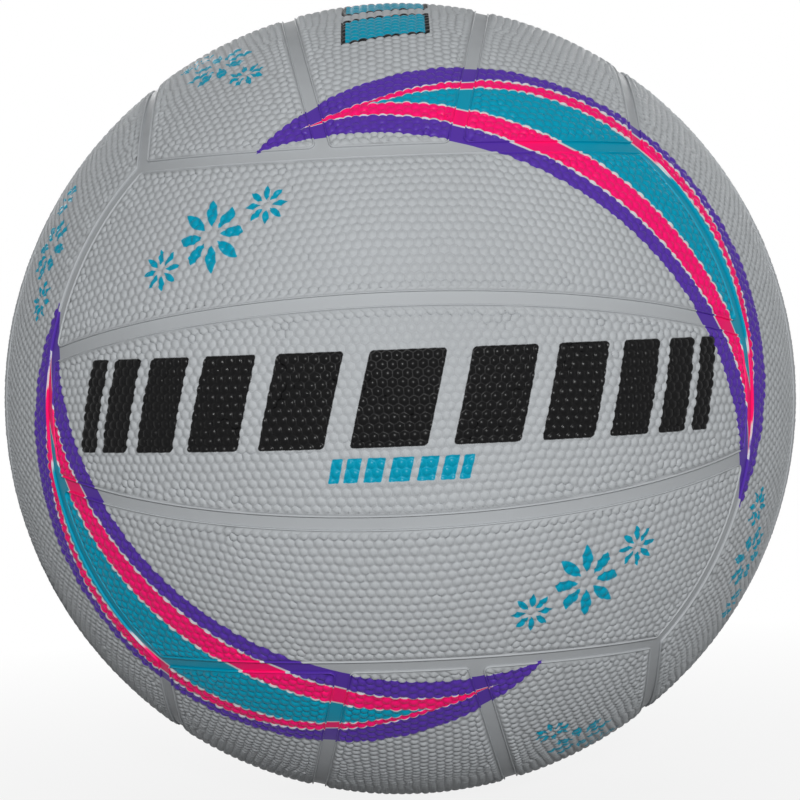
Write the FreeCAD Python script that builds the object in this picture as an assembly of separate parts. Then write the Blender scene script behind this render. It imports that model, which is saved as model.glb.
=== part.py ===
"""Size 5 netball: eighteen rubber panels on a wound, ribbed carcass, a bladder and its needle valve.

Frame: origin at the ball's centre, +Z up, -Y towards the viewer, valve on +Y. Millimetres.

Each of the ball's six faces holds three strips. The strips of opposite faces run the same way, and those
of neighbouring faces run across each other. A face ends at latitude circles through the eight corners
where three faces meet, and great circles part its strips.
"""

import FreeCAD
import Part
import math
import os

from FreeCAD import Placement, Rotation, Vector

# ---- driving dimensions (mm, degrees) ----

ball_circumference = 700.0
strip_half_angle = 14.12        # from a face's middle to the seam beside the middle strip

cover_thickness = 1.1
carcass_thickness = 0.5
winding_thickness = 0.4
bladder_thickness = 0.7

channel_depth = 0.5             # panel face down to the rib in the seam
rib_width = 3.2                 # floor of the seam channel
panel_corner_radius = 1.6
panel_edge_chamfer = 0.3

valve_neck_diameter = 8.0
valve_neck_recess = 0.3         # neck face below the panel face
valve_flange_diameter = 30.0
valve_flange_thickness = 1.2
valve_stem_diameter = 11.0
valve_stem_length = 13.0
valve_stem_floor = 1.5
insert_diameter = 5.0
insert_head_diameter = 6.4
insert_head_thickness = 0.9
insert_face_recess = 0.2        # insert face below the neck face
needle_diameter = 1.9
needle_channel_depth = 9.0
needle_lead_in = 0.45           # flare of the channel's mouth

# ---- derived sizes ----

face_radius = ball_circumference / (2 * math.pi)
carcass_radius = face_radius - cover_thickness
rib_radius = face_radius - channel_depth
winding_radius = carcass_radius - carcass_thickness
bladder_radius = winding_radius - winding_thickness
cavity_radius = bladder_radius - bladder_thickness

half_rib = rib_width / 2
corner_latitude = math.degrees(math.asin(1 / math.sqrt(3)))     # of a corner, seen from any face's middle
strip_end_angle = 90 - corner_latitude
spare_angle = 8.0                                                # by which blanks overrun their cuts
beyond_ball = 1.2 * face_radius                                  # reach of the cutting tools
inside_ball = 0.25 * face_radius                                 # where the wedges between seams start

origin = Vector(0, 0, 0)
x_axis = Vector(1, 0, 0)
y_axis = Vector(0, 1, 0)
z_axis = Vector(0, 0, 1)


def in_plane(radius, angle):
    """Point of the YZ plane at an angle up from the -Y axis."""
    return Vector(0, -radius * math.cos(math.radians(angle)), radius * math.sin(math.radians(angle)))


def arc(radius, start, end):
    """Arc of the YZ plane about the ball's centre, between two angles up from the -Y axis."""
    points = [in_plane(radius, angle) for angle in (start, (start + end) / 2, end)]
    return Part.Arc(*points).toShape()


def face_of(edges):
    return Part.Face(Part.Wire(edges))


# ---- cover panels ----

def wall_band(inner, outer):
    """Ball wall between two radii, turned about +Z round the -Y side, a little larger than one face."""
    latitude = corner_latitude + spare_angle
    profile = face_of([
        arc(outer, -latitude, latitude),
        Part.makeLine(in_plane(outer, latitude), in_plane(inner, latitude)),
        arc(inner, latitude, -latitude),
        Part.makeLine(in_plane(inner, -latitude), in_plane(outer, -latitude)),
    ])
    longitude = strip_end_angle + spare_angle
    profile.rotate(origin, z_axis, -longitude)
    return profile.revolve(origin, z_axis, 2 * longitude)


def seam_cone(axis, inset):
    """Cone through the seam circle round an axis, its wall moved inwards so that ribs keep one width."""
    half_angle = math.radians(strip_end_angle)
    tip = axis * (inset / math.sin(half_angle))
    return Part.makeCone(0, beyond_ball * math.tan(half_angle), beyond_ball, tip, axis)


def seam_wedge(lower, upper):
    """Prism along X between two seams of a face, given as (angle, offset along the plane's normal)."""
    def seam_line(seam, reach):
        angle, offset = seam
        point = in_plane(reach, angle)
        return point + in_plane(offset, angle + 90)
    outline = [seam_line(lower, inside_ball), seam_line(lower, 2 * beyond_ball),
               seam_line(upper, 2 * beyond_ball), seam_line(upper, inside_ball)]
    prism = Part.Face(Part.makePolygon(outline + outline[:1])).extrude(x_axis * 2 * beyond_ball)
    prism.translate(-x_axis * beyond_ball)
    return prism


def strip_outline(inner, outer, middle):
    """One strip of the front face between two radii, with rounded corners."""
    if middle:
        wedge = seam_wedge((-strip_half_angle, half_rib), (strip_half_angle, -half_rib))
    else:
        wedge = seam_wedge((strip_half_angle, half_rib), (corner_latitude + strip_half_angle, 0))
    long_sides = [seam_cone(z_axis, -half_rib), seam_cone(-z_axis, -half_rib)]
    short_ends = seam_cone(-y_axis, half_rib)
    strip = wall_band(inner, outer).cut(long_sides).common(short_ends).common(wedge).Solids[0]
    corners = [edge for edge in strip.Edges if runs_outwards(edge)]
    return strip.makeFillet(panel_corner_radius, corners)


def runs_outwards(edge):
    """True for the short edges that join the inner skin to the outer one."""
    ends = [vertex.Point for vertex in edge.Vertexes]
    return len(ends) == 2 and abs(ends[0].Length - ends[1].Length) > panel_edge_chamfer / 2


def on_radius(edge, radius):
    """True for an edge that lies on the sphere of that radius."""
    middle = edge.valueAt((edge.FirstParameter + edge.LastParameter) / 2)
    points = [middle] + [vertex.Point for vertex in edge.Vertexes]
    return all(abs(point.Length - radius) < 1e-3 for point in points)


def cover_strip(middle):
    """A panel: full thickness, shoulders eased where its wall meets the face."""
    strip = strip_outline(carcass_radius, face_radius, middle)
    rim = [edge for edge in strip.Edges if on_radius(edge, face_radius)]
    return strip.makeChamfer(panel_edge_chamfer, rim).Solids[0]


def pocket_strip(middle):
    """What a panel takes out of the carcass, so that the ribs are left between the pockets."""
    return strip_outline(carcass_radius, face_radius, middle)


# face name: (outward, across the strips, name of the strip on that side, name of the opposite one)
faces = {
    "front": (-y_axis, z_axis, "upper", "lower"),
    "back": (y_axis, z_axis, "upper", "lower"),
    "top": (z_axis, x_axis, "right", "left"),
    "bottom": (-z_axis, x_axis, "right", "left"),
    "left": (-x_axis, -y_axis, "front", "back"),
    "right": (x_axis, -y_axis, "front", "back"),
}


def placed(shape, outward, across):
    """Turns a solid of the front face onto another face."""
    copy = shape.copy()
    copy.Placement = Placement(origin, Rotation(across.cross(outward), -outward, across, "XYZ"))
    return copy


def on_every_face(middle_strip, side_strip):
    """Eighteen copies by panel name: a middle strip and two side strips on each face."""
    panels = {}
    for face, (outward, across, near_side, far_side) in faces.items():
        panels[f"panel_{face}_middle"] = placed(middle_strip, outward, across)
        panels[f"panel_{face}_{near_side}"] = placed(side_strip, outward, across)
        panels[f"panel_{face}_{far_side}"] = placed(side_strip, outward, -across)
    return panels


# ---- layers under the cover, all lathe-turned about the valve's axis ----

def on_sphere(radius, from_axis):
    """Point of the XY half plane on a sphere, at a distance from the +Y axis, on the valve's side."""
    return Vector(from_axis, math.sqrt(radius ** 2 - from_axis ** 2), 0)


def layer(inner, outer, hole_diameter):
    """Spherical layer with a round hole for the valve at +Y."""
    hole = hole_diameter / 2
    profile = face_of([
        Part.Arc(on_sphere(outer, hole), Vector(outer, 0, 0), Vector(0, -outer, 0)).toShape(),
        Part.makeLine(Vector(0, -outer, 0), Vector(0, -inner, 0)),
        Part.Arc(Vector(0, -inner, 0), Vector(inner, 0, 0), on_sphere(inner, hole)).toShape(),
        Part.makeLine(on_sphere(inner, hole), on_sphere(outer, hole)),
    ])
    return profile.revolve(origin, y_axis, 360)


def carcass():
    """Rubber layer with a raised rib under every seam, left between the panels' pockets."""
    blank = layer(winding_radius, rib_radius, valve_neck_diameter)
    pockets = on_every_face(pocket_strip(True), pocket_strip(False))
    return blank.cut(list(pockets.values())).Solids[0]


# ---- valve ----

def turned(points):
    """Solid of revolution about Y from (radius, height) points joined by straight lines."""
    outline = [Vector(radius, height, 0) for radius, height in points]
    return Part.Face(Part.makePolygon(outline + outline[:1])).revolve(origin, y_axis, 360)


neck_face = face_radius - valve_neck_recess
insert_face = neck_face - insert_face_recess
insert_shoulder = insert_face - insert_head_thickness
flange_seat = on_sphere(cavity_radius, valve_neck_diameter / 2).y
stem_end = flange_seat - valve_flange_thickness - valve_stem_length
insert_end = stem_end + valve_stem_floor


def valve_flange():
    """Disc that lies against the inside of the bladder, with a slightly conical underside."""
    rim = valve_flange_diameter / 2
    seat, under = cavity_radius, cavity_radius - valve_flange_thickness
    profile = face_of([
        Part.Arc(Vector(0, seat, 0), on_sphere(seat, rim / 2), on_sphere(seat, rim)).toShape(),
        Part.makeLine(on_sphere(seat, rim), on_sphere(under, rim)),
        Part.makeLine(on_sphere(under, rim), Vector(0, under, 0)),
        Part.makeLine(Vector(0, under, 0), Vector(0, seat, 0)),
    ])
    return profile.revolve(origin, y_axis, 360)


def valve_housing():
    """Neck out through every layer, flange inside the bladder and stem into the cavity, in one moulding."""
    neck, stem = valve_neck_diameter / 2, valve_stem_diameter / 2
    mid_flange = cavity_radius - valve_flange_thickness / 2
    body = turned([(0, neck_face), (neck, neck_face), (neck, mid_flange), (0, mid_flange)])
    stem_blank = turned([(0, mid_flange), (stem, mid_flange), (stem, stem_end), (0, stem_end)])
    body = body.fuse([valve_flange(), stem_blank])
    head, bore = insert_head_diameter / 2, insert_diameter / 2
    seat = turned([(0, neck_face), (head, neck_face), (head, insert_shoulder), (bore, insert_shoulder),
                   (bore, insert_end), (0, insert_end)])
    return body.cut(seat).removeSplitter().Solids[0]


def valve_insert():
    """Self-sealing plug: a head, a barrel and the blind channel that guides the needle to the closed slit."""
    head, bore, needle = insert_head_diameter / 2, insert_diameter / 2, needle_diameter / 2
    channel_end = insert_face - needle_channel_depth
    return turned([
        (needle + needle_lead_in, insert_face), (head, insert_face), (head, insert_shoulder),
        (bore, insert_shoulder), (bore, insert_end), (0, insert_end), (0, channel_end),
        (needle, channel_end), (needle, insert_face - needle_lead_in),
    ])


# ---- assembly ----

nodes = on_every_face(cover_strip(True), cover_strip(False))
neck_hole = Part.makeCylinder(valve_neck_diameter / 2, beyond_ball, origin, y_axis)
nodes["panel_back_middle"] = nodes["panel_back_middle"].cut(neck_hole).Solids[0]
nodes["carcass"] = carcass()
nodes["winding"] = layer(bladder_radius, winding_radius, valve_neck_diameter)
nodes["bladder"] = layer(cavity_radius, bladder_radius, valve_neck_diameter)
nodes["valve_housing"] = valve_housing()
nodes["valve_insert"] = valve_insert()

os.makedirs("parts", exist_ok=True)
for name, shape in nodes.items():
    shape.exportStep(f"parts/{name}.step")
    print(name, shape.ShapeType, shape.isValid(), round(shape.Volume, 1))
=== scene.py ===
import bmesh
import bpy
import math
import numpy as np
from mathutils import Matrix, Vector


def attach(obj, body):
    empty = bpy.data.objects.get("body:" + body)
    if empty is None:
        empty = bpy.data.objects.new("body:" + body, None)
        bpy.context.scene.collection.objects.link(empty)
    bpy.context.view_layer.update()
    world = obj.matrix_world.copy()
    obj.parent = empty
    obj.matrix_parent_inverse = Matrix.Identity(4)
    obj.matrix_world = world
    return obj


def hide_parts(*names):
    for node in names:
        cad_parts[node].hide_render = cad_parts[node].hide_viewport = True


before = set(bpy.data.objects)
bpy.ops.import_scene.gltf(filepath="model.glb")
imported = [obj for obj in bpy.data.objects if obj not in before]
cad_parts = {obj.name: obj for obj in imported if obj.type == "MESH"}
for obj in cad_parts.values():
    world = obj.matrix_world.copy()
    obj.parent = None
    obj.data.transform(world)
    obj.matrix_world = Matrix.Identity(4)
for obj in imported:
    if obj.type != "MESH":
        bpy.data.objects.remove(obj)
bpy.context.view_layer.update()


# ---- bladder ----
# The innermost layer, which holds the air: black butyl rubber, moulded in two halves and cured into one
# seamless skin. Dusted with talc before it is wound, so its black is uneven and slightly chalky.

def add_node(tree, kind, values=(), **settings):
    """Adds a shader node. Each value is a number, a colour or another node's output, in socket order."""
    node = tree.nodes.new("ShaderNode" + kind)
    for name, value in settings.items():
        setattr(node, name, value)
    for socket, value in zip(node.inputs, values):
        if isinstance(value, bpy.types.NodeSocket):
            tree.links.new(value, socket)
        elif value is not None:
            socket.default_value = value
    return node.outputs[0]


def calc(tree, operation, first, second=None, third=None):
    return add_node(tree, "Math", (first, second, third), operation=operation)


def ramp_between(tree, value, low, high):
    """0 below low, 1 above high, and a smooth rise between them."""
    return add_node(tree, "MapRange", (value, low, high, 0, 1), interpolation_type="SMOOTHSTEP")


def mix_colours(tree, factor, first, second):
    node = tree.nodes.new("ShaderNodeMix")
    node.data_type = "RGBA"
    for socket, value in ((node.inputs[0], factor), (node.inputs[6], first), (node.inputs[7], second)):
        if isinstance(value, bpy.types.NodeSocket):
            tree.links.new(value, socket)
        else:
            socket.default_value = value
    return node.outputs[2]


def noise(tree, place, scale, detail=2.0, roughness=0.5):
    node = tree.nodes.new("ShaderNodeTexNoise")
    tree.links.new(place, node.inputs["Vector"])
    node.inputs["Scale"].default_value = scale
    node.inputs["Detail"].default_value = detail
    node.inputs["Roughness"].default_value = roughness
    return node.outputs["Fac"]


def srgb(red, green, blue):
    """A colour as it is seen, from 0 to 255, in the renderer's linear values."""
    return tuple((c / 255 / 12.92) if c <= 10 else ((c / 255 + 0.055) / 1.055) ** 2.4
                 for c in (red, green, blue)) + (1.0,)


def new_finish(name):
    """An empty material: its tree, its shader and its place on the object in metres."""
    material = bpy.data.materials.new(name)
    material.use_nodes = True
    tree = material.node_tree
    place = tree.nodes.new("ShaderNodeTexCoord").outputs["Object"]
    return material, tree, tree.nodes["Principled BSDF"], place


def finish_bump(tree, shader, height, strength, distance):
    bump = tree.nodes.new("ShaderNodeBump")
    bump.inputs["Strength"].default_value = strength
    bump.inputs["Distance"].default_value = distance
    tree.links.new(height, bump.inputs["Height"])
    tree.links.new(bump.outputs["Normal"], shader.inputs["Normal"])


def dress_node(name, material):
    """Gives a CAD node its finish and keeps its shape."""
    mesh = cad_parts[name].data
    mesh.materials.clear()
    mesh.materials.append(material)


butyl_black, talc_grey = srgb(28, 28, 30), srgb(92, 92, 92)

butyl, tree, shader, place = new_finish("butyl_bladder")
talc = noise(tree, place, 38, 6, 0.62)
talced = ramp_between(tree, talc, 0.42, 0.7)
tree.links.new(mix_colours(tree, talced, butyl_black, talc_grey), shader.inputs["Base Color"])
tree.links.new(add_node(tree, "MapRange", (talc, 0.3, 0.7, 0.5, 0.8)), shader.inputs["Roughness"])
finish_bump(tree, shader, noise(tree, place, 900, 3), 0.25, 0.0001)
dress_node("bladder", butyl)


# ---- winding ----
# Nylon thread wound round the bladder on great circles in every direction, under tension and dipped in
# latex, so that the ball keeps its size and its roundness.

winding_strands = 260                         # of one lay, once round the ball
winding_lays = ((0.0, 0.0, 0.3), (1.0, 0.4, 0.0), (0.3, 1.2, 0.9), (2.1, 0.5, 1.7))     # each lay's turns
# The deep thread colour is painted shade, laid in the grooves between the strands.
thread_light, thread_painted_shade = srgb(222, 212, 190), srgb(120, 104, 78)


def separate(tree, vector):
    node = tree.nodes.new("ShaderNodeSeparateXYZ")
    tree.links.new(vector, node.inputs[0])
    return node.outputs[0], node.outputs[1], node.outputs[2]


nylon, tree, shader, place = new_finish("latexed_nylon_thread")
threads = None
for turn in winding_lays:
    _, y, z = separate(tree, add_node(tree, "Mapping", (place, (0, 0, 0), turn)))
    strand = calc(tree, "SINE", calc(tree, "MULTIPLY", calc(tree, "ARCTAN2", z, y), winding_strands))
    strand = calc(tree, "MULTIPLY_ADD", strand, 0.5, 0.5)
    threads = strand if threads is None else calc(tree, "SMOOTH_MAX", threads, strand, 0.2)
# Darker between the strands: painted shade in the grooves of the winding.
tree.links.new(mix_colours(tree, threads, thread_painted_shade, thread_light), shader.inputs["Base Color"])
tree.links.new(add_node(tree, "MapRange", (threads, 0, 1, 0.75, 0.45)), shader.inputs["Roughness"])
finish_bump(tree, shader, threads, 0.8, 0.0003)
dress_node("winding", nylon)


# ---- carcass ----
# A grey rubber layer moulded over the winding. A rib stands under every seam, and the panels are bonded
# between the ribs, so a rib's smooth top is the floor of the channel. The print is screened over it too.

ball_radius = 0.700 / (2 * math.pi)
rib_low, rib_high = ball_radius - 0.0009, ball_radius - 0.00028

# The deep grey is painted shade, laid where the rubber lies low. The cloud grey is random clouding of the
# rubber.
grey_light, grey_painted_shade, grey_cloud = srgb(187, 191, 194), srgb(172, 175, 178), srgb(150, 152, 154)
ink_black, ink_teal, ink_pink = srgb(10, 10, 11), srgb(0, 154, 184), srgb(255, 22, 116)
ink_purple, ink_white = srgb(88, 54, 166), srgb(214, 216, 218)
rubber_dullness = (0.68, 0.80)
ink_shine, top_shine = 0.25, 0.18             # taken off the roughness under ink and on pimple tops

print_radius = 0.1114                         # distances on the print are measured on this ball
print_softness = 0.00012                      # half the width of a bar's edge
print_wobble = 0.00016                        # how far an edge strays from its line

crescent_corner, crescent_softness = (1, -1, 1), 0.0015
crescent_tips = (Vector((-0.30, -0.745, 0.58)), Vector((0.78, -0.555, -0.27)))
crescents = (                                 # nested: ink, inner and outer edge, share of the span
    (ink_purple, 0.0330, 0.0705, 1.0), (ink_white, 0.0378, 0.0672, 0.93),
    (ink_pink, 0.0385, 0.0665, 0.92), (ink_white, 0.0453, 0.0625, 0.80),
    (ink_teal, 0.0460, 0.0618, 0.79))

petal_corner, petal_angle = (-1, -1, 1), math.pi / 4
petal_mark = Vector((0.4035, 0.8226, 0.4009)).normalized()      # the middle one of three in a row
petal_row_slope = 8.5 / 14
petal_spacing, petal_middle, petal_length, petal_width = 0.0158, 0.0064, 0.0076, 0.0030
outer_mark_shrink = 0.45

bar_share, bar_slant = 0.74, math.radians(14)                   # of a bar in its pitch
large_bars = (0.0262, 0.0036, 5, 0.0235, 0.0010)                # pitch in the middle, how much it narrows,
small_bars = (0.0072, 0.0012, 3, 0.0060, 0.0004)                # bars to each side, height, corner radius
top_bars = (0.0262, 0.0012, 2, 0.0235, 0.0010)
large_bars_rise, small_bars_rise, bar_outline = 0.0032, -0.0140, 0.0012


def vector_calc(tree, operation, first, second=None):
    return add_node(tree, "VectorMath", (first, second), operation=operation)


def vector_value(tree, operation, first, second=None):
    """A vector calculation whose answer is a number, such as a length."""
    node = tree.nodes.new("ShaderNodeVectorMath")
    node.operation = operation
    tree.links.new(first, node.inputs[0])
    if second is not None:
        node.inputs[1].default_value = second
    return node.outputs["Value"]


def combine(tree, x, y, z):
    return add_node(tree, "CombineXYZ", (x, y, z))


def within(tree, distance, softness, edge=0.0):
    """1 below an edge and 0 above it, with a soft step between them."""
    return calc(tree, "SUBTRACT", 1.0, ramp_between(tree, distance, edge - softness, edge + softness))


def lay_ink(tree, colour, ink, cover, pigment):
    """Prints a pigment where cover is 1: returns the new colour and where there is any ink so far."""
    return mix_colours(tree, cover, colour, pigment), calc(tree, "MAXIMUM", ink, cover)


def sign_where(tree, first_pair, second_pair):
    """+1 where the first pair holds the largest of the four values, and -1 elsewhere."""
    first, second = (calc(tree, "MAXIMUM", *pair) for pair in (first_pair, second_pair))
    return calc(tree, "MULTIPLY_ADD", calc(tree, "GREATER_THAN", first, second), 2.0, -1.0)


def turned_to_corner(tree, unit, corner):
    """Half turns about the axes that bring the nearest of four corners onto one, so each prints the same."""
    lean = [vector_value(tree, "DOT_PRODUCT", unit, (corner[0] * a, corner[1] * b, corner[2] * a * b))
            for a, b in ((1, 1), (1, -1), (-1, 1), (-1, -1))]
    sign_x = sign_where(tree, (lean[0], lean[1]), (lean[2], lean[3]))
    sign_y = sign_where(tree, (lean[0], lean[2]), (lean[1], lean[3]))
    sign_z = calc(tree, "MULTIPLY", sign_x, sign_y)
    return vector_calc(tree, "MULTIPLY", unit, combine(tree, sign_x, sign_y, sign_z))


def print_crescents(tree, unit, colour):
    """Nested crescents round four corners. Circles through the two tips hold the largest one, so an angle
    about the line between the tips tells its edges. The others narrow sooner towards their ends."""
    folded = turned_to_corner(tree, unit, crescent_corner)
    first, second = (tip.normalized() for tip in crescent_tips)
    middle, chord = (first + second) / 2, (second - first).normalized()
    outward, half_span = middle.normalized(), (second - first).length / 2
    above = calc(tree, "SUBTRACT", vector_value(tree, "DOT_PRODUCT", folded, outward), middle.length)
    angle = calc(tree, "ARCTAN2", vector_value(tree, "DOT_PRODUCT", folded, outward.cross(chord)), above)
    along = calc(tree, "ABSOLUTE", vector_value(tree, "DOT_PRODUCT", folded, chord))
    ink = 0.0
    for pigment, inner, outer, share in crescents:
        low, high = (math.atan2(math.sin(edge / print_radius), math.cos(edge / print_radius) - middle.length)
                     for edge in (inner, outer))
        narrowed = 0.0
        if share < 1:
            narrowed = calc(tree, "POWER", calc(tree, "DIVIDE", along, half_span * share), 3.0)
        half_width = calc(tree, "MULTIPLY_ADD", narrowed, -(high - low) / 2, (high - low) / 2)
        from_middle = calc(tree, "ABSOLUTE", calc(tree, "SUBTRACT", angle, (low + high) / 2))
        beyond = calc(tree, "SUBTRACT", from_middle, half_width)
        colour, ink = lay_ink(tree, colour, ink, within(tree, beyond, crescent_softness), pigment)
    return colour, ink


def print_petals(tree, unit, colour, ink):
    """A row of three marks of eight petals beside each of the other four corners, on every face there."""
    folded = vector_calc(tree, "MULTIPLY", turned_to_corner(tree, unit, petal_corner), petal_corner)
    x, y, z = separate(tree, folded)
    x_most = calc(tree, "GREATER_THAN", x, calc(tree, "MAXIMUM", y, z))
    z_most = calc(tree, "GREATER_THAN", z, calc(tree, "MAXIMUM", x, y))
    turned = combine(tree, x, y, z)
    for most, rotated in ((x_most, combine(tree, z, x, y)), (z_most, combine(tree, y, z, x))):
        chosen = tree.nodes.new("ShaderNodeMix")
        chosen.data_type = "VECTOR"
        tree.links.new(most, chosen.inputs[0])
        tree.links.new(turned, chosen.inputs[4])
        tree.links.new(rotated, chosen.inputs[5])
        turned = chosen.outputs[1]
    side = petal_mark.cross(Vector((0, 0, 1))).normalized()
    row_way = (side + petal_mark.cross(side) * petal_row_slope).normalized()
    along = calc(tree, "MULTIPLY", vector_value(tree, "DOT_PRODUCT", turned, row_way), print_radius)
    across = calc(tree, "MULTIPLY", vector_value(tree, "DOT_PRODUCT", turned, petal_mark.cross(row_way)),
                  print_radius)
    which = calc(tree, "ROUND", calc(tree, "DIVIDE", along, petal_spacing))
    which = calc(tree, "MAXIMUM", calc(tree, "MINIMUM", which, 1.0), -1.0)
    along = calc(tree, "MULTIPLY_ADD", which, -petal_spacing, along)
    size = calc(tree, "MULTIPLY_ADD", calc(tree, "ABSOLUTE", which), -outer_mark_shrink, 1.0)
    radius = calc(tree, "DIVIDE", vector_value(tree, "LENGTH", combine(tree, along, across, 0.0)), size)
    turn = calc(tree, "FLOORED_MODULO", calc(tree, "ARCTAN2", across, along), petal_angle)
    turn = calc(tree, "SUBTRACT", turn, petal_angle / 2)
    out = calc(tree, "SUBTRACT", calc(tree, "MULTIPLY", radius, calc(tree, "COSINE", turn)), petal_middle)
    out = calc(tree, "DIVIDE", out, petal_length / 2)
    aside = calc(tree, "DIVIDE", calc(tree, "MULTIPLY", radius, calc(tree, "SINE", turn)), petal_width / 2)
    shape = calc(tree, "ADD", calc(tree, "MULTIPLY", out, out), calc(tree, "ABSOLUTE", aside))
    facing = calc(tree, "GREATER_THAN", vector_value(tree, "DOT_PRODUCT", turned, petal_mark), 0.9)
    cover = calc(tree, "MULTIPLY", within(tree, shape, 0.1, 1.0), facing)
    return lay_ink(tree, colour, ink, cover, ink_teal)


def bar_row(tree, along, above, row):
    """Signed distance, in metres, to a row of slanted bars that narrow towards its ends: below 0 inside."""
    pitch, narrowing, last, height, corner = row
    leaned = calc(tree, "MULTIPLY_ADD", above, -math.tan(bar_slant), along)
    squared = calc(tree, "MULTIPLY_ADD", calc(tree, "ABSOLUTE", leaned), -2 * narrowing, pitch ** 2)
    local_pitch = calc(tree, "SQRT", calc(tree, "MAXIMUM", squared, 1e-8))
    place_in_row = calc(tree, "DIVIDE", calc(tree, "SUBTRACT", pitch, local_pitch), narrowing)
    nearest = calc(tree, "MINIMUM", calc(tree, "ROUND", place_in_row), last)
    sideways = calc(tree, "ABSOLUTE", calc(tree, "SUBTRACT", place_in_row, nearest))
    sideways = calc(tree, "SUBTRACT", sideways, bar_share / 2)
    sideways = calc(tree, "MULTIPLY_ADD", sideways, local_pitch, corner)
    upwards = calc(tree, "SUBTRACT", calc(tree, "ABSOLUTE", above), height / 2 - corner)
    past = combine(tree, calc(tree, "MAXIMUM", sideways, 0.0), calc(tree, "MAXIMUM", upwards, 0.0), 0.0)
    short = calc(tree, "MINIMUM", calc(tree, "MAXIMUM", sideways, upwards), 0.0)
    return calc(tree, "SUBTRACT", calc(tree, "ADD", vector_value(tree, "LENGTH", past), short), corner)


def print_bars(tree, unit, colour, ink):
    """Rows of bars: large and small ones on the front's middle strip, and outlined ones on the top's."""
    x, y, z = separate(tree, unit)
    around = calc(tree, "ARCTAN2", x, calc(tree, "MULTIPLY", y, -1.0))
    along = calc(tree, "MULTIPLY", around, print_radius)
    above = calc(tree, "MULTIPLY", calc(tree, "ARCSINE", z), print_radius)
    on_front = calc(tree, "LESS_THAN", y, -0.3)
    for row, rise, pigment in ((large_bars, large_bars_rise, ink_black),
                               (small_bars, small_bars_rise, ink_teal)):
        distance = bar_row(tree, along, calc(tree, "SUBTRACT", above, rise), row)
        cover = calc(tree, "MULTIPLY", within(tree, distance, print_softness), on_front)
        colour, ink = lay_ink(tree, colour, ink, cover, pigment)
    along = calc(tree, "MULTIPLY", calc(tree, "ARCTAN2", y, z), print_radius)
    across = calc(tree, "MULTIPLY", calc(tree, "ARCSINE", x), print_radius)
    on_top = calc(tree, "GREATER_THAN", z, 0.3)
    distance = bar_row(tree, along, across, top_bars)
    for edge, pigment in ((0.0, ink_black), (-bar_outline, ink_teal)):
        cover = calc(tree, "MULTIPLY", within(tree, distance, print_softness, edge), on_top)
        colour, ink = lay_ink(tree, colour, ink, cover, pigment)
    return colour, ink


def printed_colour(tree, place, ground):
    """The ball's print over its ground colour: returns the colour and where there is ink."""
    wobble = tree.nodes.new("ShaderNodeTexNoise")
    tree.links.new(place, wobble.inputs["Vector"])
    wobble.inputs["Scale"].default_value = 420
    stray = vector_calc(tree, "SUBTRACT", wobble.outputs["Color"], (0.5, 0.5, 0.5))
    stray = vector_calc(tree, "MULTIPLY", stray, (print_wobble, print_wobble, print_wobble))
    unit = vector_calc(tree, "NORMALIZE", vector_calc(tree, "ADD", place, stray))
    colour, ink = print_crescents(tree, unit, ground)
    colour, ink = print_petals(tree, unit, colour, ink)
    return print_bars(tree, unit, colour, ink)


def rubber_finish(name, relief_low, relief_high):
    """Moulded grey rubber with its print. Pimple tops are smoother than what lies between, and lower places
    are painted darker as painted shade.
    """
    material, tree, shader, place = new_finish(name)
    height = ramp_between(tree, vector_value(tree, "LENGTH", place), relief_low, relief_high)
    clouded = add_node(tree, "MapRange", (noise(tree, place, 26, 5, 0.6), 0.35, 0.7, 0.0, 0.12))
    # The grey darkens towards the deep grey where the surface lies lower: painted shade in the creases
    # between the pimples and down the ribs' sides.
    ground = mix_colours(tree, clouded, mix_colours(tree, height, grey_painted_shade, grey_light), grey_cloud)
    colour, ink = printed_colour(tree, place, ground)
    tree.links.new(colour, shader.inputs["Base Color"])
    dull = add_node(tree, "MapRange", (noise(tree, place, 160, 4), 0.3, 0.7, *rubber_dullness))
    dull = calc(tree, "MULTIPLY_ADD", ink, -ink_shine, dull)
    tree.links.new(calc(tree, "MULTIPLY_ADD", height, -top_shine, dull), shader.inputs["Roughness"])
    finish_bump(tree, shader, noise(tree, place, 3200, 3, 0.7), 0.12, 0.00006)
    shader.inputs["Specular IOR Level"].default_value = 0.12
    return material


channel_rubber = rubber_finish("channel_rubber", rib_low, rib_high)
dress_node("carcass", channel_rubber)


# ---- valve housing ----
# Black rubber neck, flange and stem in one moulding, vulcanised to the inside of the bladder. Only the
# end of its neck shows, in a round hole through the back's middle panel.

cavity_radius = ball_radius - 0.0027          # inside of the bladder
neck_radius, neck_face = 0.0040, ball_radius - 0.0003
plug_face = neck_face - 0.0002
head_radius, head_foot = 0.0032, plug_face - 0.0009
barrel_radius, barrel_foot = 0.0025, 0.095935
stem_radius, stem_foot = 0.0055, barrel_foot - 0.0015
flange_radius, flange_thickness, flange_taper = 0.0150, 0.0012, 0.00024
moulding_black, moulding_grey = srgb(20, 20, 21), srgb(52, 52, 54)


def on_cavity(from_axis, depth=0.0):
    """Outline point on the bladder's inside, or below it, at a distance from the valve's axis."""
    return from_axis, math.sqrt((cavity_radius - depth) ** 2 - from_axis ** 2)


def fit_piece(name, mesh, node):
    """Hangs a finished mesh on the ball in its CAD node's place."""
    piece = bpy.data.objects.new(name, mesh)
    bpy.context.scene.collection.objects.link(piece)
    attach(piece, "root")
    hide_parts(node)


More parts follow.
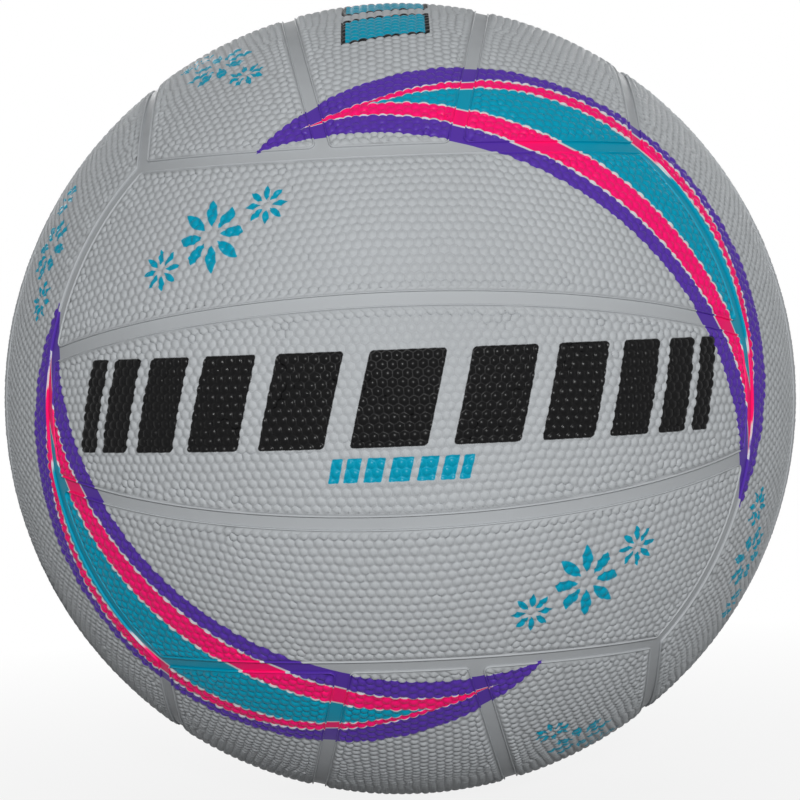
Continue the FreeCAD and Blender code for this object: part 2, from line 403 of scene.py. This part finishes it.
def turned_mesh(name, outline, rounding, material):
    """A mesh turned about the valve's axis from (radius, height) points, with its corners rounded."""
    bm = bmesh.new()
    corners = [bm.verts.new((radius, height, 0)) for radius, height in outline]
    for pair in zip(corners, corners[1:]):
        bm.edges.new(pair)
    bmesh.ops.bevel(bm, geom=corners[1:-1], offset=rounding, offset_type="OFFSET", segments=4, profile=0.5,
                    affect="VERTICES", material=-1)
    bmesh.ops.spin(bm, geom=bm.verts[:] + bm.edges[:], cent=(0, 0, 0), axis=(0, 1, 0), angle=2 * math.pi,
                   steps=64, use_merge=True)
    bmesh.ops.remove_doubles(bm, verts=bm.verts, dist=1e-7)
    bmesh.ops.recalc_face_normals(bm, faces=bm.faces)
    for f in bm.faces:
        f.smooth = True
    mesh = bpy.data.meshes.new(name)
    bm.to_mesh(mesh)
    bm.free()
    mesh.materials.append(material)
    return mesh


black_rubber, tree, shader, place = new_finish("valve_rubber")
speck = noise(tree, place, 420, 5, 0.6)
tree.links.new(mix_colours(tree, speck, moulding_black, moulding_grey), shader.inputs["Base Color"])
tree.links.new(add_node(tree, "MapRange", (speck, 0.3, 0.7, 0.36, 0.55)), shader.inputs["Roughness"])
finish_bump(tree, shader, noise(tree, place, 2400, 3), 0.2, 0.00005)

housing = [(0, stem_foot), (stem_radius, stem_foot), on_cavity(stem_radius, flange_thickness + flange_taper),
           on_cavity(flange_radius, flange_thickness)]
housing += [on_cavity(from_axis) for from_axis in (flange_radius, 0.0125, 0.0095, 0.0065, neck_radius)]
housing += [(neck_radius, neck_face), (head_radius, neck_face), (head_radius, head_foot),
            (barrel_radius, head_foot), (barrel_radius, barrel_foot), (0, barrel_foot)]
housing_mesh = turned_mesh("valve_neck_and_flange", housing, 0.00018, black_rubber)
fit_piece("valve_neck_and_flange", housing_mesh, "valve_housing")


# ---- valve insert ----
# A softer plug of butyl rubber pushed into the housing. Its channel guides the needle to a slit, which
# the air pressure closes again. A shallow ring groove runs round its face.

needle_radius, needle_flare, needle_depth = 0.00095, 0.00045, 0.0090
groove_radius, groove_half_width, groove_depth = head_radius - 0.00060, 0.00015, 0.00012
plug_black, plug_grey = srgb(30, 30, 32), srgb(66, 66, 68)

plug_rubber, tree, shader, place = new_finish("plug_rubber")
speck = noise(tree, place, 700, 4, 0.6)
tree.links.new(mix_colours(tree, speck, plug_black, plug_grey), shader.inputs["Base Color"])
tree.links.new(add_node(tree, "MapRange", (speck, 0.3, 0.7, 0.34, 0.5)), shader.inputs["Roughness"])
finish_bump(tree, shader, noise(tree, place, 3000, 3), 0.15, 0.00004)

plug = [(0, plug_face - needle_depth), (needle_radius, plug_face - needle_depth),
        (needle_radius, plug_face - needle_flare), (needle_radius + needle_flare, plug_face),
        (groove_radius - groove_half_width, plug_face), (groove_radius, plug_face - groove_depth),
        (groove_radius + groove_half_width, plug_face), (head_radius, plug_face), (head_radius, head_foot),
        (barrel_radius, head_foot), (barrel_radius, barrel_foot), (0, barrel_foot)]
plug_mesh = turned_mesh("valve_plug", plug, 0.00010, plug_rubber)
fit_piece("valve_plug", plug_mesh, "valve_insert")


# ---- cover panels ----
# Eighteen moulded rubber strips, three on each of the ball's six faces, bonded between the ribs. Each has
# a thin raised lip beside the channel and a field of low round pimples, sunk into the mould, for grip.

x_axis, y_axis, z_axis = Vector((1, 0, 0)), Vector((0, 1, 0)), Vector((0, 0, 1))
strip_half_angle = math.radians(14.12)        # from a face's middle to the seam beside the middle strip
corner_latitude = math.asin(1 / math.sqrt(3))
panel_foot = ball_radius - 0.0011             # underside, on the carcass
skin_radius = ball_radius - 0.00030           # in the creases between the pimples
half_channel, panel_corner, corner_steps = 0.0016, 0.0016, 5
sharp_edge = math.radians(86)

pimple_pitch, pimple_width = 0.00250, 0.00190                   # the width of a pimple's shoulder
pimple_roundness = 0.7                        # 1 makes every shoulder a circle of that width
border_row = 0.00312                          # middle of the border's pimples, from the seam's middle
second_row = border_row + 0.46 * pimple_pitch                   # nearest that an inner pimple starts
saddle_height = 0.00002                       # where two pimples touch, above the pits between three
flank_width, flank_rise = 0.00028, 0.00028    # from the crease to the shoulder
shoulder_width, shoulder_rise = 0.00040, 0.00022
crown_rise, height_spread = 0.00007, 0.000025
grid_rows, grid_shift = 96, 0.25              # rows before they settle, and their shift across the strip
settling_rounds, settling_moves, settling_share = 8, 4, 0.14
settling_reach, place_spread = 1.8, 0.09      # in pitches
weld_reach, hole_margin = 0.4, 0.5            # in pitches
most_lean, hole_share = 0.9, 0.97             # what skin_over keeps: how far outward, how near the hole
panel_seed = 7

panel_section = (                             # (distance from the seam's middle, distance from the centre)
    (border_row, panel_foot), (half_channel, panel_foot), (half_channel, ball_radius - 0.00014),
    (half_channel + 0.00005, ball_radius), (half_channel + 0.00014, ball_radius + 0.00008),
    (half_channel + 0.00026, ball_radius + 0.00008), (half_channel + 0.00036, ball_radius - 0.00006),
    (half_channel + 0.00048, skin_radius), (border_row, skin_radius))

valve_hole, collar_row = 0.0040, 0.0066
collar_coarse = valve_hole + 0.002            # from here on the collar's rings have fewer steps
hole_steps, row_steps = 32, 16
collar_section = (                            # round the valve: (distance from its axis, from the centre)
    (collar_row * panel_foot / skin_radius, panel_foot), (valve_hole, panel_foot),
    (valve_hole, ball_radius - 0.00022), (valve_hole + 0.00012, ball_radius - 0.00006),
    (valve_hole + 0.00034, ball_radius), (valve_hole + 0.00085, ball_radius),
    (valve_hole + 0.0011, ball_radius - 0.00008), (valve_hole + 0.0014, skin_radius),
    (collar_row, skin_radius))


def strip_borders(is_middle):
    """A front panel's four borders, in order: the axis and angular radius of the caps that hold it."""
    lean = -strip_half_angle if is_middle else strip_half_angle
    lower = (Vector((0, math.sin(lean), math.cos(lean))), math.pi / 2)
    end = (-y_axis, math.pi / 2 - corner_latitude)
    if is_middle:
        upper = (Vector((0, math.sin(lean), -math.cos(lean))), math.pi / 2)
    else:
        upper = (-z_axis, math.pi / 2 + corner_latitude)
    return [lower, end, upper, end]


def crossing(first, second, inset, side):
    """Where two borders meet on the unit ball, both moved inwards along the surface."""
    (axis_a, angle_a), (axis_b, angle_b) = first, second
    cos_a, cos_b = math.cos(angle_a - inset / ball_radius), math.cos(angle_b - inset / ball_radius)
    lean = axis_a.dot(axis_b)
    flat = (axis_a * (cos_a - lean * cos_b) + axis_b * (cos_b - lean * cos_a)) / (1 - lean * lean)
    across = axis_a.cross(axis_b).normalized() * math.sqrt(1 - flat.length_squared)
    return flat + across if (flat + across).x * side > 0 else flat - across


def nearest_on(border, inset, point):
    """The foot of a point on a border that is moved inwards."""
    axis, angle = border
    angle -= inset / ball_radius
    return axis * math.cos(angle) + (point - axis * axis.dot(point)).normalized() * math.sin(angle)


def turn_between(start, end, axis):
    start, end = start - axis * axis.dot(start), end - axis * axis.dot(end)
    return start.angle(end) * (1 if axis.dot(start.cross(end)) > 0 else -1)


def spin_on(bm, vertex, axis, angle, steps):
    """Spins a vertex about an axis through the ball's centre and returns the new ones in order."""
    before = set(bm.verts)
    bmesh.ops.spin(bm, geom=[vertex], cent=(0, 0, 0), axis=axis, angle=angle, steps=steps)
    path = []
    for _ in range(steps):
        vertex = next(e.other_vert(vertex) for e in vertex.link_edges
                      if e.other_vert(vertex) not in before and e.other_vert(vertex) not in path[-2:])
        path.append(vertex)
    return path


def border_ring(bm, is_middle, inset, radius):
    """A closed ring along a panel's outline at one inset, with a step for each pimple of the border row."""
    borders = strip_borders(is_middle)
    corners = [crossing(borders[i], borders[(i + 1) % 4], half_channel + panel_corner, side)
               for i, side in enumerate((1, 1, -1, -1))]
    start = nearest_on(borders[0], inset, corners[3])
    ring = [bm.verts.new(start * radius)]
    for i, border in enumerate(borders):
        stop = nearest_on(border, inset, corners[i])
        beyond = nearest_on(borders[(i + 1) % 4], inset, corners[i])
        swept = abs(turn_between(corners[i - 1], corners[i], border[0])) * math.sin(border[1]) * ball_radius
        steps = round(swept / pimple_pitch)
        ring += spin_on(bm, ring[-1], border[0], turn_between(start, stop, border[0]), steps)
        ring += spin_on(bm, ring[-1], corners[i], turn_between(stop, beyond, corners[i]), corner_steps)
        start = beyond
    last = ring.pop()
    bmesh.ops.pointmerge(bm, verts=[ring[0], last], merge_co=ring[0].co)
    return ring


def collar_ring(bm, from_axis, radius):
    """A round ring about the valve's axis."""
    steps = row_steps if from_axis > collar_coarse else hole_steps
    ring = bmesh.ops.create_circle(bm, segments=steps, radius=from_axis)["verts"]
    to_ball = Matrix.Translation((0, -math.sqrt(radius ** 2 - from_axis ** 2), 0))
    bmesh.ops.transform(bm, verts=ring, matrix=to_ball @ Matrix.Rotation(math.pi / 2, 4, "X"))
    return ring


def ring_edges(ring):
    """A border ring's edges in order."""
    return [next(e for e in a.link_edges if e.other_vert(a) == b)
            for a, b in zip(ring, ring[1:] + ring[:1])]


def skin_over(bm, spots, hole=0.0):
    """Joins spots on the ball into even triangles, and takes off the hull's back and what spans a hole."""
    made = bmesh.ops.convex_hull(bm, input=spots, use_existing_faces=False)["geom"]
    kept, back = [], []
    for f in (g for g in made if isinstance(g, bmesh.types.BMFace)):
        f.normal_update()
        heart = f.calc_center_median()
        turned_in = f.normal.dot(heart.normalized()) < most_lean
        over_hole = math.hypot(heart.x, heart.z) < hole_share * hole
        (back if turned_in or over_hole else kept).append(f)
    bmesh.ops.delete(bm, geom=back, context="FACES_ONLY")
    loose = [g for g in made if isinstance(g, bmesh.types.BMEdge) and g.is_valid and not g.link_faces]
    bmesh.ops.delete(bm, geom=loose, context="EDGES_FACES")
    return kept


def pimple_rows(is_middle, fixed, hole):
    """Directions of the pimples: rows along the strip that settle against the border rows and each other."""
    borders = strip_borders(is_middle)
    middle_angle = 0 if is_middle else (strip_half_angle + corner_latitude) / 2
    to_middle = Matrix.Rotation(-middle_angle, 3, "X")
    rows, points = bmesh.new(), []
    bmesh.ops.create_grid(rows, x_segments=grid_rows, y_segments=grid_rows, size=grid_rows / 2)
    for v in rows.verts:
        along = (v.co.x + 0.5 * (round(v.co.y) % 2)) * pimple_pitch / ball_radius
        above = (v.co.y + grid_shift) * math.sqrt(0.75) * pimple_pitch / ball_radius
        spot = to_middle @ Vector((math.sin(along) * math.cos(above), -math.cos(along) * math.cos(above),
                                   math.sin(above)))
        inside = all(axis.dot(spot) > math.cos(angle - second_row / ball_radius) for axis, angle in borders)
        from_hole = math.hypot(spot.x, spot.z) * ball_radius - hole
        if inside and (not hole or from_hole > hole_margin * pimple_pitch):
            points.append(spot)
    rows.free()
    spots = np.array([v.co.normalized() for v in fixed] + points)
    pitch = pimple_pitch / ball_radius
    for _ in range(settling_rounds):
        hull = bmesh.new()
        verts = [hull.verts.new(p) for p in spots]
        hull.verts.index_update()
        skin_over(hull, verts)
        near = settling_reach * pitch
        pairs = np.array([[v.index for v in e.verts] for e in hull.edges if e.calc_length() < near])
        hull.free()
        for _ in range(settling_moves):
            gap = spots[pairs[:, 1]] - spots[pairs[:, 0]]
            push = gap * (1 - pitch / np.linalg.norm(gap, axis=1, keepdims=True)) * settling_share
            move = np.zeros_like(spots)
            np.add.at(move, pairs[:, 0], push)
            np.add.at(move, pairs[:, 1], -push)
            move[:len(fixed)] = 0
            spots += move
            spots /= np.linalg.norm(spots, axis=1, keepdims=True)
    shaken = np.random.default_rng(panel_seed).normal(0, place_spread * pitch, spots.shape)
    return (spots + shaken)[len(fixed):]


def raise_pimples(bm, centres, skin):
    """Turns each centre's share of the skin into a rounded pimple."""
    middle = set(centres)
    fans = {f for v in centres for f in v.link_faces}
    bmesh.ops.triangulate(bm, faces=[f for f in fans if len(f.verts) > 3])
    is_centre, is_crease = bm.verts.layers.int["is_centre"], bm.verts.layers.int["is_crease"]
    feet = {e.other_vert(v) for v in centres for e in v.link_edges} - middle
    for v in bmesh.ops.poke(bm, faces=skin)["verts"]:
        v[is_crease] = 1
    for v in feet:
        v[is_crease] = 2
    for v in centres:
        v[is_centre] = 1
    between = {e for v in centres for e in v.link_edges if e.other_vert(v) in middle}
    for v in bmesh.ops.subdivide_edges(bm, edges=list(between), cuts=1)["geom_inner"]:
        v[is_centre], v[is_crease] = 0, 3
    bmesh.ops.connect_verts(bm, verts=[v for v in bm.verts if v[is_crease]])
    bmesh.ops.dissolve_verts(bm, verts=[v for v in bm.verts if v[is_centre]])
    creases = [v for v in bm.verts if v[is_crease] in (1, 3)]
    for v in creases:
        v.co = v.co.normalized() * (skin_radius + (saddle_height if v[is_crease] == 3 else 0))
    cells = list({f for v in creases for f in v.link_faces})
    hearts = {f: f.calc_center_median() for f in cells}
    bmesh.ops.inset_individual(bm, faces=cells, thickness=flank_width, depth=flank_rise, use_even_offset=True)
    for f in cells:
        heart, up = hearts[f], hearts[f].normalized()
        for v in f.verts:
            away = v.co - heart
            level = up * up.dot(away)
            away -= level
            reach = (1 - pimple_roundness) * away.length + pimple_roundness * pimple_width / 2
            v.co = heart + level + away.normalized() * reach
    bmesh.ops.inset_individual(bm, faces=cells, thickness=shoulder_width, depth=shoulder_rise,
                               use_even_offset=True)
    tops = bmesh.ops.poke(bm, faces=cells, offset=crown_rise)["verts"]
    heights = np.random.default_rng(panel_seed + 1).normal(0, height_spread, len(tops))
    for top, taller in zip(tops, heights):
        for v in [top] + [e.other_vert(top) for e in top.link_edges]:
            v.co += v.co.normalized() * taller


def panel_mesh(name, is_middle, has_valve=False):
    """A closed panel of the front face: its edge and underside, and its skin with the pimples."""
    bm = bmesh.new()
    bm.verts.layers.int.new("is_centre")
    bm.verts.layers.int.new("is_crease")
    rings = [border_ring(bm, is_middle, inset, radius) for inset, radius in panel_section]
    for outer, inner in zip(rings, rings[1:]):
        bmesh.ops.bridge_loops(bm, edges=ring_edges(outer) + ring_edges(inner))
    for ring in (rings[0], rings[-1]):
        same = bmesh.ops.find_doubles(bm, verts=ring, dist=weld_reach * pimple_pitch)
        bmesh.ops.weld_verts(bm, targetmap=same["targetmap"])
    fixed = [v for v in rings[-1] if v.is_valid]
    hole = 0.0
    if has_valve:
        hole = collar_row
        collars = [collar_ring(bm, from_axis, radius) for from_axis, radius in collar_section]
        for outer, inner in zip(collars, collars[1:]):
            edges = {e for ring in (outer, inner) for v in ring for e in v.link_edges
                     if e.other_vert(v) in set(ring)}
            bmesh.ops.bridge_loops(bm, edges=list(edges))
        fixed += collars[-1]
    rows = pimple_rows(is_middle, fixed, hole)
    centres = fixed + [bm.verts.new(Vector(p).normalized() * skin_radius) for p in rows]
    skin = skin_over(bm, centres, hole)
    lining = [g for g in bmesh.ops.duplicate(bm, geom=skin)["geom"] if isinstance(g, bmesh.types.BMVert)]
    bmesh.ops.scale(bm, verts=lining, vec=Vector((1, 1, 1)) * panel_foot / skin_radius)
    under = [v for v in bm.verts if abs(v.co.length - panel_foot) < 2e-6]
    bmesh.ops.remove_doubles(bm, verts=under, dist=5e-6)
    raise_pimples(bm, centres, skin)
    bmesh.ops.recalc_face_normals(bm, faces=bm.faces[:])
    for f in bm.faces:
        f.smooth = True
    for e in bm.edges:
        e.smooth = not (e.is_manifold and e.calc_face_angle() > sharp_edge)
    mesh = bpy.data.meshes.new(name)
    bm.to_mesh(mesh)
    bm.free()
    return mesh


cover_rubber = rubber_finish("cover_rubber", skin_radius - 0.00002, skin_radius + 0.00026)
faces_of_ball = {                             # outward, across the strips, names of the side strips
    "front": (-y_axis, z_axis, "upper", "lower"),
    "back": (y_axis, z_axis, "upper", "lower"),
    "top": (z_axis, x_axis, "right", "left"),
    "bottom": (-z_axis, x_axis, "right", "left"),
    "left": (-x_axis, -y_axis, "front", "back"),
    "right": (x_axis, -y_axis, "front", "back"),
}


def lay_panel(mesh, name, outward, across):
    """Turns a copy of a front panel onto its face and puts it in the CAD panel's place."""
    copy = mesh.copy()
    copy.name = "cover_" + name
    copy.transform(Matrix((across.cross(outward), -outward, across)).transposed().to_4x4())
    copy.materials.append(cover_rubber)
    fit_piece("cover_" + name, copy, "panel_" + name)


middle_panel, side_panel = panel_mesh("middle_panel", True), panel_mesh("side_panel", False)
valve_panel = panel_mesh("valve_panel", True, has_valve=True)
for face, (outward, across, near_side, far_side) in faces_of_ball.items():
    lay_panel(valve_panel if face == "back" else middle_panel, face + "_middle", outward, across)
    lay_panel(side_panel, face + "_" + near_side, outward, across)
    lay_panel(side_panel, face + "_" + far_side, outward, -across)


# ---- studio ----
# A white floor and surround, one soft key lamp beside the camera and a little above it, and two weaker
# lamps behind the ball, so that its back isn't left dark.

floor_grey, floor_drop, floor_half_size = 0.25, 0.0004, 6
whiter_from, whiter_to, near_white = 0.13, 0.40, 0.86           # the ball's shadow fades between these radii
sky_strength = 0.045                          # of what the white surround sheds on the ball


def seen_directly(tree):
    """1 for what the camera sees, also by reflection or through glass, and 0 for light on the object."""
    path = tree.nodes.new("ShaderNodeLightPath").outputs
    through = calc(tree, "MAXIMUM", path["Is Glossy Ray"], path["Is Transmission Ray"])
    return calc(tree, "MAXIMUM", path["Is Camera Ray"], through)


floor_white, tree, shader, place = new_finish("floor_white")
shader.inputs["Base Color"].default_value = (floor_grey, floor_grey, floor_grey, 1)
shader.inputs["Roughness"].default_value = 0.9
far = vector_value(tree, "LENGTH", place)
whiter = add_node(tree, "MapRange", (far, whiter_from, whiter_to, near_white, 1.0))
blend = tree.nodes.new("ShaderNodeMixShader")
tree.links.new(calc(tree, "MULTIPLY", seen_directly(tree), whiter), blend.inputs[0])
tree.links.new(shader.outputs[0], blend.inputs[1])
tree.links.new(tree.nodes.new("ShaderNodeEmission").outputs[0], blend.inputs[2])
tree.links.new(blend.outputs[0], tree.nodes["Material Output"].inputs["Surface"])

floor_bm = bmesh.new()
bmesh.ops.create_grid(floor_bm, x_segments=1, y_segments=1, size=floor_half_size,
                      matrix=Matrix.Translation((0, 0, -ball_radius - floor_drop)))
floor_mesh = bpy.data.meshes.new("floor")
floor_bm.to_mesh(floor_mesh)
floor_bm.free()
floor_mesh.materials.append(floor_white)
floor = bpy.data.objects.new("floor", floor_mesh)
bpy.context.scene.collection.objects.link(floor)

world = bpy.data.worlds.new("studio")
world.use_nodes = True
bpy.context.scene.world = world
sky = world.node_tree.nodes["Background"]
sky.inputs["Color"].default_value = (1, 1, 1, 1)
seen = seen_directly(world.node_tree)
strength = add_node(world.node_tree, "MapRange", (seen, 0.0, 1.0, sky_strength, 1.0))
world.node_tree.links.new(strength, sky.inputs["Strength"])


def soft_lamp(name, place, size, power):
    lamp = bpy.data.lights.new(name, "AREA")
    lamp.energy = power
    lamp.size = size
    lamp_object = bpy.data.objects.new(name, lamp)
    aim = (-Vector(place)).to_track_quat("-Z", "Y").to_matrix().to_4x4()
    lamp_object.matrix_world = Matrix.Translation(place) @ aim
    bpy.context.scene.collection.objects.link(lamp_object)


soft_lamp("key_lamp", (0.09, -1.5, 0.39), 0.17, 17.3)
soft_lamp("left_back_lamp", (-0.5, 1.5, 0.6), 0.5, 9)
soft_lamp("right_back_lamp", (0.7, 1.4, 0.6), 0.5, 9)


# ---- camera ----
# Fitted to the seams of the photographed ball: nearly level, about 0.7 m from its centre.

lens_distance = 6.2045                        # camera from the ball's centre, in seen radii
seen_radius = 0.1117
sensor_width, frame_pixels = 36, 800
silhouette = 395.85                           # radius of the ball's outline, in the frame's pixels
frame_shift = (-0.3, -1.4)                    # in the same pixels
ball_turn = Vector((1.5722, -2.2293, -0.1663)) * math.pi / 180  # about its own direction, by its length
to_camera = Matrix.Rotation(ball_turn.length, 3, ball_turn.normalized())
right, ahead, up = (to_camera.transposed() @ axis for axis in (x_axis, y_axis, z_axis))
camera_data = bpy.data.cameras.new("camera")
camera_data.sensor_width = sensor_width
camera_data.lens = silhouette * math.sqrt(lens_distance ** 2 - 1) * sensor_width / frame_pixels
camera_data.shift_x, camera_data.shift_y = (pixels / frame_pixels for pixels in frame_shift)
camera = bpy.data.objects.new("camera", camera_data)
camera.matrix_world = (Matrix.Translation(-ahead * lens_distance * seen_radius)
                       @ Matrix((right, up, -ahead)).transposed().to_4x4())
bpy.context.scene.collection.objects.link(camera)
bpy.context.scene.camera = camera
bpy.context.scene.view_settings.view_transform = "Standard"
